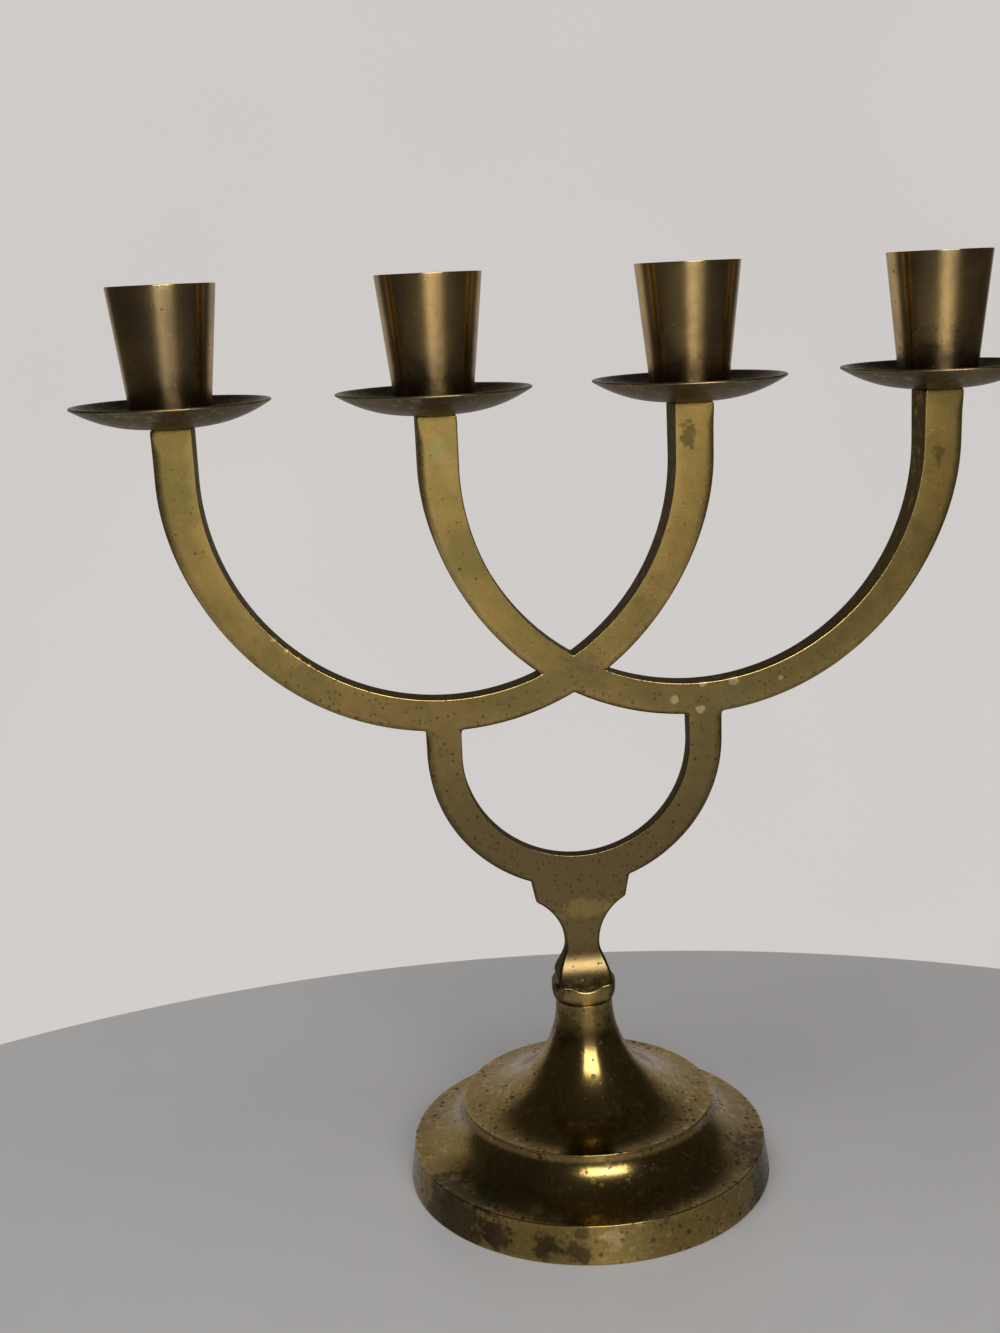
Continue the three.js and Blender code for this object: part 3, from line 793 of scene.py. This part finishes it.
def brassFinish(name, **changes):
    # Old brass with the given changes: a mottled patina over gold, dark freckles and blotches,
    # brighter worn edges, marks at given places, and fine hand or lathe scratches in the bump.
    look = {**oldBrass, **changes}
    material, tree, shader = blankFinish(name)
    here = placed(tree)
    broad = noise(tree, here, look["mottle"], 4.0, 0.6, 0.4)
    fine = noise(tree, here, look["mottle"] * look["fineTimes"], 4.0, 0.65)
    grain = noise(tree, placed(tree, look["brush"]), look["grain"], 2.0, 0.6)
    tone = blended(tree, ranged(tree, broad, *look["oliveFrom"]), look["gold"], look["olive"])
    shade = maths(tree, "MULTIPLY", grain, look["grainPart"])
    shade = maths(tree, "MULTIPLY_ADD", fine, 1 - look["grainPart"], shade)
    browned = ranged(tree, shade, *look["brownFrom"], 0.0, look["brownShare"])
    tone = blended(tree, browned, tone, look["brown"])
    worn = ranged(tree, shade, *look["goldFrom"], 0.0, look["goldShare"])
    tone = blended(tree, worn, tone, look["bright"])
    edge = makeNode(tree, "Attribute", {"attribute_name": "wear"}).outputs["Fac"]
    edge = maths(tree, "MULTIPLY", edge, ranged(tree, fine, *look["edgeFrom"], 0.35, 1.0))
    tone = blended(tree, maths(tree, "MULTIPLY", edge, look["edgeShare"]), tone, look["bright"])
    thick = ranged(tree, noise(tree, here, look["mottle"] * 0.7, 2.0), 0.4, 0.65, *look["freckleCover"])
    rag = maths(tree, "SUBTRACT", fine, 0.5)
    height = makeNode(tree, "SeparateXYZ", Vector=here).outputs[2]
    if "darkBelow" in look:
        # the lower part is browner and has more freckles
        level = maths(tree, "MULTIPLY_ADD", rag, 0.05, height)
        level = ranged(tree, level, *(z * 0.001 for z in look["darkBelow"]))
        tone = blended(tree, maths(tree, "MULTIPLY", level, look["lowShare"]), tone, look["lowTone"])
        thick = maths(tree, "MULTIPLY_ADD", level, look["lowFreckles"], thick)
    dots = freckles(tree, here, look["freckleGap"], look["freckleSize"], thick)
    patches = freckles(tree, here, look["blotchGap"], look["blotchSize"], look["blotchCover"])
    patches = maths(tree, "MULTIPLY", patches, ranged(tree, fine, 0.35, 0.6))
    tarnish = maths(tree, "MAXIMUM", dots, patches)
    specks = freckles(tree, here, look["speckGap"], look["speckSize"], thick)
    tarnish = maths(tree, "MAXIMUM", tarnish, maths(tree, "MULTIPLY", specks, look["speckDepth"]))
    tone = blended(tree, maths(tree, "MULTIPLY", tarnish, look["freckleDepth"]), tone, look["dark"])
    dull = tarnish
    if "sideTone" in look:
        # the side walls were never polished
        side = makeNode(tree, "Attribute", {"attribute_name": "side"}).outputs["Fac"]
        side = maths(tree, "MULTIPLY", side, ranged(tree, fine, 0.25, 0.5, 0.7, 1.0))
        tone = blended(tree, side, tone, look["sideTone"])
        dull = maths(tree, "MAXIMUM", dull, side)
    for mark in look["marks"]:
        mask = maths(tree, "MULTIPLY", spotMask(tree, here, mark, rag), mark["share"])
        tone = blended(tree, mask, tone, mark["colour"])
        dull = maths(tree, "MAXIMUM", dull, maths(tree, "MULTIPLY", mask, mark["dull"]))
    if "grimeZ" in look:
        # dirt in the seam between collar and foot
        away = maths(tree, "ABSOLUTE", maths(tree, "SUBTRACT", height, look["grimeZ"] * 0.001))
        away = maths(tree, "MULTIPLY_ADD", rag, 0.0006, away)
        grime = ranged(tree, away, look["grimeReach"] * 0.001, 0.0)
        tone = blended(tree, grime, tone, look["dark"])
        dull = maths(tree, "MAXIMUM", dull, grime)
    rough = maths(tree, "MULTIPLY_ADD", shade, look["roughVary"], look["rough"] - look["roughVary"] / 2)
    rough = maths(tree, "MULTIPLY_ADD", dull, look["dullRough"], rough)
    rough = maths(tree, "MULTIPLY_ADD", edge, -look["edgePolish"], rough, clamp=True)
    # the coat is what is left of old lacquer
    fill(tree, shader, {
        "Base Color": tone, "Metallic": 1.0, "Specular Tint": (look["edgeTint"],) * 3 + (1,),
        "Coat Weight": look["coat"], "Coat Roughness": look["coatRough"], "Roughness": rough})
    if look["turning"] > 0:
        # lathe marks run round the piece, so its highlights stretch along its profile
        lathe = makeNode(tree, "Tangent", {"direction_type": "UV_MAP", "uv_map": "around"})
        fill(tree, shader, {
            "Anisotropic": look["turning"], "Anisotropic Rotation": 0.25, "Tangent": lathe.outputs[0]})
    bumped = maths(tree, "MULTIPLY", fine, look["fineHeight"])
    bumped = maths(tree, "MULTIPLY_ADD", grain, look["grainHeight"], bumped)
    bumped = maths(tree, "MULTIPLY_ADD", broad, look["waveHeight"], bumped)
    bumped = maths(tree, "MULTIPLY_ADD", tarnish, -look["pitDepth"], bumped)
    bump = makeNode(tree, "Bump", Height=bumped, Distance=0.0001, Strength=look["bump"])
    fill(tree, shader, {"Normal": bump.outputs[0]})
    return material


zinc = {
    "pale": (0.62, 0.62, 0.6),
    "grey": (0.38, 0.38, 0.36),
    "bloom": 260.0,           # clouds to the metre
    "rough": (0.32, 0.52),
    "bump": 0.4,
}


def zincFinish():
    # dull zinc plating on the steel fixings under the foot
    material, tree, shader = blankFinish("zincSteel")
    here = placed(tree)
    bloom = noise(tree, here, zinc["bloom"], 4.0, 0.6)
    tone = blended(tree, ranged(tree, bloom, 0.35, 0.7), zinc["pale"], zinc["grey"])
    rough = ranged(tree, bloom, 0.3, 0.7, *zinc["rough"])
    bump = makeNode(tree, "Bump", Height=bloom, Distance=0.00005, Strength=zinc["bump"]).outputs[0]
    fill(tree, shader, {"Base Color": tone, "Metallic": 1.0, "Roughness": rough, "Normal": bump})
    return material


# Dressing the CAD frame

def readAll(items, name, width=1, kind=np.float32):
    # one value, or a row of them, of every item in a mesh
    values = np.zeros(len(items) * width, kind)
    items.foreach_get(name, values)
    return values.reshape(-1, width) if width > 1 else values


def setLayer(mesh, name, values):
    # a number from 0 to 1 at every vertex, for the finishes to read
    layer = mesh.attributes.new(name, "FLOAT", "POINT")
    layer.data.foreach_set("value", np.clip(values, 0, 1).astype(np.float32))


def wearFromCurves(mesh, sharp=0.5):
    # Attribute "wear", 1 on outward edges: the angle between an edge's two faces / sharp, and
    # the sign that tells an outward edge from a hollow one.
    edge = readAll(mesh.loops, "edge_index", kind=np.int32)
    size = readAll(mesh.polygons, "loop_total", kind=np.int32)
    normal = readAll(mesh.polygons, "normal", 3)
    centre = readAll(mesh.polygons, "center", 3)
    ends = readAll(mesh.edges, "vertices", 2, np.int32)
    face = np.repeat(np.arange(len(size)), size)[np.argsort(edge, kind="stable")]
    sharing = np.bincount(edge, minlength=len(ends))
    last = np.cumsum(sharing) - 1
    one, two = face[last - sharing + 1], face[last]
    bend = np.arccos(np.clip((normal[one] * normal[two]).sum(1), -1, 1))
    outward = ((centre[two] - centre[one]) * normal[one]).sum(1) < 0
    worn = np.zeros(len(mesh.vertices), np.float32)
    for k in (0, 1):
        np.maximum.at(worn, ends[:, k], np.where(outward, bend, 0) / sharp)
    setLayer(mesh, "wear", worn)


def sideWalls(mesh):
    # Attribute "side", 1 where the vertex normal points across or up and down rather than to
    # the front or back: 1 - ease((|n_y| - 0.2) / 0.4), fading out just above the collar
    facing = np.abs(readAll(mesh.vertex_normals, "vector", 3)[:, 1])
    above = readAll(mesh.vertices, "co", 3)[:, 2] * 1000 - collarZ
    setLayer(mesh, "side", (1 - ease((facing - 0.2) / 0.4)) * ease(above - 0.3))


def paint(piece, material):
    # one finish for the whole piece
    piece.data.materials.clear()
    piece.data.materials.append(material)


def dress(piece, material, node):
    # the piece gets its wear and finish, rides on the one body and takes the CAD node's place
    wearFromCurves(piece.data)
    paint(piece, material)
    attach(piece, "root")
    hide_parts(node)


def stainOrPaintedLight(x, y, z, size, share, colour, dull=0.0, stretch=(1, 1, 1)):
    # A stain, a worn spot, or a spot of painted highlight or painted shade: its middle and size in mm,
    # how far its colour covers and how far it dulls. A stretch above 1 makes it narrower that way.
    return {"at": (x, y, z), "size": size, "share": share, "colour": colour, "dull": dull,
            "stretch": stretch}


darkTarnish = (0.05, 0.036, 0.02)
# painted shade for the neck's left and right, where it reflects a darker room
neckPaintedShade = (0.07, 0.048, 0.02)
# painted shade for the rim's front left and front right, where it reflects a darker room
rimPaintedShade = (0.045, 0.033, 0.018)
nickGlintGold = (0.95, 0.68, 0.23)
paleWear = (0.66, 0.5, 0.25)
castMarks = [
    # painted highlight: a warm smear where the stem starts to sweep out below the ears
    stainOrPaintedLight(1.2, -1.8, 78.2, 3.2, 0.3, (0.42, 0.29, 0.1), stretch=(0.5, 1, 1.3)),
    # painted highlight on the front of the collar
    stainOrPaintedLight(0.0, -8.6, 54.8, 6.0, 0.7, (0.46, 0.33, 0.12), stretch=(0.8, 1, 1.6)),
    stainOrPaintedLight(34.8, -3.2, 141.0, 1.5, 0.7, paleWear, 0.5),
    stainOrPaintedLight(43.4, -3.2, 140.8, 1.5, 0.7, paleWear, 0.5),
    stainOrPaintedLight(26.8, -3.1, 136.4, 1.1, 0.7, paleWear, 0.5),
    stainOrPaintedLight(34.1, -3.0, 133.1, 1.1, 0.7, paleWear, 0.5),
    stainOrPaintedLight(56.2, -3.2, 140.4, 0.7, 0.6, paleWear, 0.3),
    stainOrPaintedLight(31.4, -5.2, 207.1, 2.5, 0.8, (0.07, 0.06, 0.026), 0.4, stretch=(1.2, 1, 0.75)),
    stainOrPaintedLight(98.2, -5.0, 198.8, 2.1, 0.75, (0.08, 0.066, 0.03), 0.4, stretch=(1.4, 1, 0.65)),
    stainOrPaintedLight(-34.0, -5.2, 206.8, 2.6, 0.45, (0.3, 0.35, 0.16), 0.3),
    stainOrPaintedLight(-105.0, -5.5, 215.2, 1.7, 0.9, darkTarnish, 0.8),
    stainOrPaintedLight(2.1, -3.4, 147.5, 4.6, 0.45, (0.17, 0.145, 0.07), stretch=(1, 1, 1.5)),
    stainOrPaintedLight(42.7, -3.1, 135.4, 5.0, 0.35, (0.2, 0.19, 0.1)),
    stainOrPaintedLight(35.4, -2.5, 118.1, 1.3, 0.5, (0.2, 0.15, 0.07)),
    # dark grime on the flare's left side, and painted shade on the collar under the flare's overhanging
    # left corner
    stainOrPaintedLight(-8.3, -6.2, 60.6, 1.5, 1.0, darkTarnish, 1.0),
    stainOrPaintedLight(-8.9, -4.6, 57.4, 1.7, 1.0, darkTarnish, 1.0)]
footMarks = [
    # painted shade: broad dark patches on the rim's left and right
    stainOrPaintedLight(-42.0, -29.0, 4.0, 13.0, 0.85, rimPaintedShade, 0.3),
    stainOrPaintedLight(46.0, -20.0, 4.0, 12.0, 0.8, rimPaintedShade, 0.3),
    stainOrPaintedLight(-42.8, -26.1, 6.6, 3.2, 0.6, darkTarnish, 0.6),
    stainOrPaintedLight(-31.0, -39.8, 4.4, 4.2, 0.8, darkTarnish, 0.6),
    stainOrPaintedLight(-19.0, -46.4, 4.6, 3.6, 0.85, darkTarnish, 0.6),
    stainOrPaintedLight(-10.6, -49.4, 2.8, 3.4, 0.8, darkTarnish, 0.6),
    stainOrPaintedLight(-9.6, -48.6, 8.6, 1.8, 0.6, darkTarnish, 0.6),
    # painted shade on the neck's left and right
    stainOrPaintedLight(-7.2, -7.4, 46.0, 5.0, 0.75, neckPaintedShade, stretch=(1, 1, 0.8)),
    stainOrPaintedLight(8.2, -5.4, 46.0, 5.5, 0.75, neckPaintedShade, stretch=(1, 1, 0.8)),
    stainOrPaintedLight(43.0, -26.6, 5.5, 5.0, 0.6, darkTarnish, 0.5),
    stainOrPaintedLight(-1.2, -50.1, 6.5, 2.4, 0.45, (0.5, 0.4, 0.2), 0.4),
    stainOrPaintedLight(-19.9, -39.6, 11.0, 1.6, 0.5, (0.5, 0.4, 0.2), 0.4),
    stainOrPaintedLight(-29.6, -2.0, 22.6, 1.6, 0.5, (0.12, 0.1, 0.07), 0.5),
    stainOrPaintedLight(-46.5, 9.0, 10.9, 2.0, 0.4, (0.13, 0.11, 0.08), 0.5),
    # painted shade on the left of the cove
    stainOrPaintedLight(-28.0, -29.0, 13.0, 9.0, 0.35, (0.09, 0.07, 0.035), 0.2)]
# nicks along the left arch's inner edge, painted bright gold as glints
nicks = [(-78.3, 159.9, 0.6), (-75.2, 156.8, 0.7), (-72.1, 154.6, 0.6), (-69.0, 152.9, 0.8),
         (-66.6, 151.8, 0.6)]
castMarks += [stainOrPaintedLight(x, -3.3, z, size, 0.9, nickGlintGold, stretch=(0.8, 0.5, 1.2)) for x, z, size in nicks]
castBrass = brassFinish(
    "castBrass", olive=(0.37, 0.29, 0.088), edgeShare=1.0, edgeTint=0.5, rough=0.3,
    grimeZ=52.0, grimeReach=0.5, marks=castMarks, sideTone=(0.1, 0.07, 0.028),
    darkBelow=(215, 92), lowShare=1.0, lowTone=(0.145, 0.105, 0.047))
footBrass = brassFinish(
    "footBrass", gold=(0.24, 0.163, 0.053), olive=(0.178, 0.126, 0.045), brown=(0.1, 0.068, 0.03),
    rough=0.2, roughVary=0.1, mottle=36.0, freckleCover=(0.35, 0.9), freckleGap=0.0026,
    freckleSize=0.0007, speckSize=0.00042, turning=0.35, grimeZ=52.0, grimeReach=0.3,
    marks=footMarks)
cupBrass = brassFinish(
    "cupBrass", gold=(0.55, 0.375, 0.15), olive=(0.31, 0.225, 0.12), brown=(0.13, 0.102, 0.075),
    darkBelow=(238, 212), lowShare=0.65, lowTone=(0.15, 0.11, 0.075), brush=(1, 1, 14),
    coat=0.12, rough=0.25, freckleCover=(0.02, 0.2), blotchCover=0.03, turning=0.7, edgeTint=0.6)
panBrass = brassFinish(
    "panBrass", gold=(0.13, 0.1, 0.064), olive=(0.095, 0.076, 0.05), brown=(0.06, 0.048, 0.034),
    coat=0.25, rough=0.36, freckleCover=(0.05, 0.3), blotchCover=0.05, turning=0.6, edgeTint=0.3)
screwBrass = brassFinish("screwBrass", rough=0.4, mottle=90.0)
zincSteel = zincFinish()
print("materials made")

castFrame = makeCasting()
dress(castFrame, castBrass, "arm_frame")
sideWalls(castFrame.data)
print("casting made")
turnedFoot = turnedPiece("turnedFoot", footProfile(), 0, 0, foot["steps"])
dress(turnedFoot, footBrass, "foot")
panLine, cupLine = panProfile(), cupProfile()
for i, x in enumerate(cupXs, 1):
    bowl = turnedPiece(f"turnedPan{i}", panLine, x, armTopZ, pan["steps"])
    dress(bowl, panBrass, f"drip_pan_{i}")
    holder = turnedPiece(f"turnedCup{i}", cupLine, x, cupZ, cup["steps"])
    dress(holder, cupBrass, f"candle_cup_{i}")
    paint(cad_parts[f"cup_screw_{i}"], screwBrass)
for node in ("foot_stud", "foot_washer", "foot_spring_washer", "foot_nut"):
    paint(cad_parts[node], zincSteel)
print("turned pieces made")


# The set: a round table top, a pale wall, soft lights and the camera

studio = {
    "tableCentre": (-0.019, -0.234),
    "tableRadius": 0.387,
    "tableThick": 0.022,
    "tableRound": 0.002,
    "tableSteps": 256,
    "tableColour": (0.37, 0.37, 0.38),
    "tableRough": 0.42,
    "tableMottle": 30.0,
    "tableCloud": 0.94,           # its faint clouds have this much of its colour
    "wallY": 0.85,
    "wallTop": 1.2,
    "wallHalf": 3.0,
    "wallBend": 0.5,              # radius of the sweep between floor and wall
    "bendSteps": 24,
    "floorZ": -0.75,
    "floorNear": -12.0,
    "wallColour": (0.68, 0.65, 0.63),
    "wallMottle": 1.4,
    "wallCloud": 0.86,
    # painted shade on the backdrop
    "wallDim": 0.1,               # what is left of the wall's brightness far from its middle
    "dimSide": (0.5, 1.3),        # where it fades to the sides and upwards
    "dimHigh": (0.5, 0.95),
    "dimFront": (0.1, 1.1),       # the floor before the table fades towards the right
    "frontFrom": (-1.0, -2.0),    # and between these places in y
    "roomStrength": 0.055,
    "roomColour": (1.0, 0.97, 0.94, 1),
    "keyPower": 8.4,
    "keySize": (0.66, 0.43),
    "keyPlace": (0.10, -0.98, 0.57),
    "keyColour": (1.0, 0.96, 0.88),
    "fillPower": 20.0,
    "fillSize": (1.4, 1.4),
    "fillPlace": (-0.35, -0.4, 1.5),
    "fillColour": (1.0, 0.98, 0.96),
    "aim": (0, 0, 0.13),          # both lights point here
}


def tablePaint():
    # one colour with faint, darker clouds
    material, tree, shader = blankFinish("tablePaint")
    darker = studio["tableCloud"]
    cloud = noise(tree, placed(tree), studio["tableMottle"])
    tone = blended(tree, cloud, studio["tableColour"], tuple(c * darker for c in studio["tableColour"]))
    fill(tree, shader, {"Base Color": tone, "Roughness": studio["tableRough"]})
    return material


def makeTable():
    # a round top with a bevelled edge: three rings and two flat lids
    r, t, bevel = (studio[k] for k in ("tableRadius", "tableThick", "tableRound"))
    count = studio["tableSteps"]
    profile = np.array([[r - bevel, 0], [r, -bevel], [r, -t]]) * 1000
    centre = [c * 1000 for c in studio["tableCentre"]] + [0]
    points = turnedPoints(profile, count) + centre
    circle = np.arange(count)[None]
    faces = [gridFaces(len(profile), count, False, True), circle, circle + (len(profile) - 1) * count]
    table = facingOut(buildPiece("tableTop", points, faces))
    table.data.shade_flat()
    table.data.materials.append(tablePaint())


def paleBackdrop():
    # Seen directly, in metal or through glass it glows plain and pale; for other light it is paint.
    # Glow and paint carry painted shade, fading to grey far from its middle and, before the table,
    # towards the right.
    material, tree, shader = blankFinish("wallPaint")
    tree.nodes.remove(shader)
    here = placed(tree)
    colour, cloudier, paintedDimTone = (tuple(c * k for c in studio["wallColour"])
                                for k in (1, studio["wallCloud"], studio["wallDim"]))
    tone = blended(tree, noise(tree, here, studio["wallMottle"]), colour, cloudier)
    # painted shade: darker to the sides, upwards, and before the table towards the right
    spread = makeNode(tree, "SeparateXYZ", Vector=here).outputs
    sideways = ranged(tree, maths(tree, "ABSOLUTE", spread[0]), *studio["dimSide"])
    upwards = ranged(tree, spread[2], *studio["dimHigh"])
    paintedFade = maths(tree, "MAXIMUM", sideways, upwards)
    ahead = ranged(tree, spread[1], *studio["frontFrom"])
    ahead = maths(tree, "MULTIPLY", ahead, ranged(tree, spread[0], *studio["dimFront"]))
    paintedFade = maths(tree, "MAXIMUM", paintedFade, ahead)
    tone = blended(tree, paintedFade, tone, paintedDimTone)
    matt = makeNode(tree, "BsdfDiffuse", Color=tone)
    glow = makeNode(tree, "Emission", Color=tone)
    ray = makeNode(tree, "LightPath").outputs
    seen = maths(tree, "MAXIMUM", ray["Is Camera Ray"], ray["Is Glossy Ray"])
    seen = maths(tree, "MAXIMUM", seen, ray["Is Transmission Ray"])
    mixed = makeNode(tree, "MixShader", i0=seen, i1=matt.outputs[0], i2=glow.outputs[0])
    fill(tree, tree.nodes["Material Output"], {"Surface": mixed.outputs[0]})
    return material


def makeWall():
    # Floor far below and wall behind in one sheet, joined by a round sweep: y = back - bend +
    # bend sin a and z = low + bend (1 - cos a).
    a = np.linspace(0, math.pi / 2, studio["bendSteps"])
    bend, back, low = (studio[k] for k in ("wallBend", "wallY", "floorZ"))
    y = np.concatenate([[studio["floorNear"]], back - bend + bend * np.sin(a), [back]])
    z = np.concatenate([[low], low + bend * (1 - np.cos(a)), [studio["wallTop"]]])
    x = studio["wallHalf"] * np.array([-1, 1])
    points = np.stack([x[None] + 0 * y[:, None], y[:, None] + 0 * x, z[:, None] + 0 * x], -1) * 1000
    wall = buildPiece("backWall", points.reshape(-1, 3), [gridFaces(len(y), 2)])
    wall.data.materials.append(paleBackdrop())


def areaLight(kind, inMetal):
    # a soft rectangle of light that faces the candelabra
    data = bpy.data.lights.new(f"{kind}Light", "AREA")
    data.shape = "RECTANGLE"
    data.size, data.size_y = studio[f"{kind}Size"]
    data.energy = studio[f"{kind}Power"]
    data.color = studio[f"{kind}Colour"]
    light = addObject(f"{kind}Light", data)
    light.location = studio[f"{kind}Place"]
    ahead = Vector(studio["aim"]) - light.location
    light.rotation_euler = ahead.to_track_quat("-Z", "Y").to_euler()
    light.visible_camera = False
    light.visible_glossy = inMetal


def makeLights():
    # The key shows in the metal. The wide fill lights the table and doesn't, or it would be a
    # white square there. The room adds a dim, even light.
    areaLight("key", True)
    areaLight("fill", False)
    world = bpy.data.worlds.new("room")
    bpy.context.scene.world = world
    world.use_nodes = True
    back = world.node_tree.nodes["Background"]
    back.inputs["Color"].default_value = studio["roomColour"]
    back.inputs["Strength"].default_value = studio["roomStrength"]


# the photograph's viewpoint, found from the ellipses of cups, pans and foot
view = {
    "place": (-0.0593, -0.4219, 0.2474),
    "yaw": 5.4,
    "pitch": -13.2,
    "roll": -2.6,
    "focalPixels": 1635.0,
    "longSide": 1333.0,
    "sensor": 36.0,
    "clip": (0.01, 20),
}


def makeCamera():
    # turned by yaw, then pitch, then roll; the lens is focal pixels x sensor / long side
    yaw, pitch, roll = (math.radians(view[k]) for k in ("yaw", "pitch", "roll"))
    data = bpy.data.cameras.new("photoView")
    data.sensor_width = view["sensor"]
    data.lens = view["focalPixels"] * view["sensor"] / view["longSide"]
    data.clip_start, data.clip_end = view["clip"]
    camera = addObject("photoView", data)
    camera.matrix_world = (
        Matrix.Translation(view["place"]) @ Matrix.Rotation(-yaw, 4, "Z")
        @ Matrix.Rotation(math.pi / 2 + pitch, 4, "X") @ Matrix.Rotation(roll, 4, "Z"))
    bpy.context.scene.camera = camera


makeTable()
makeWall()
makeLights()
makeCamera()
bpy.context.scene.view_settings.view_transform = "Standard"
print("set made")
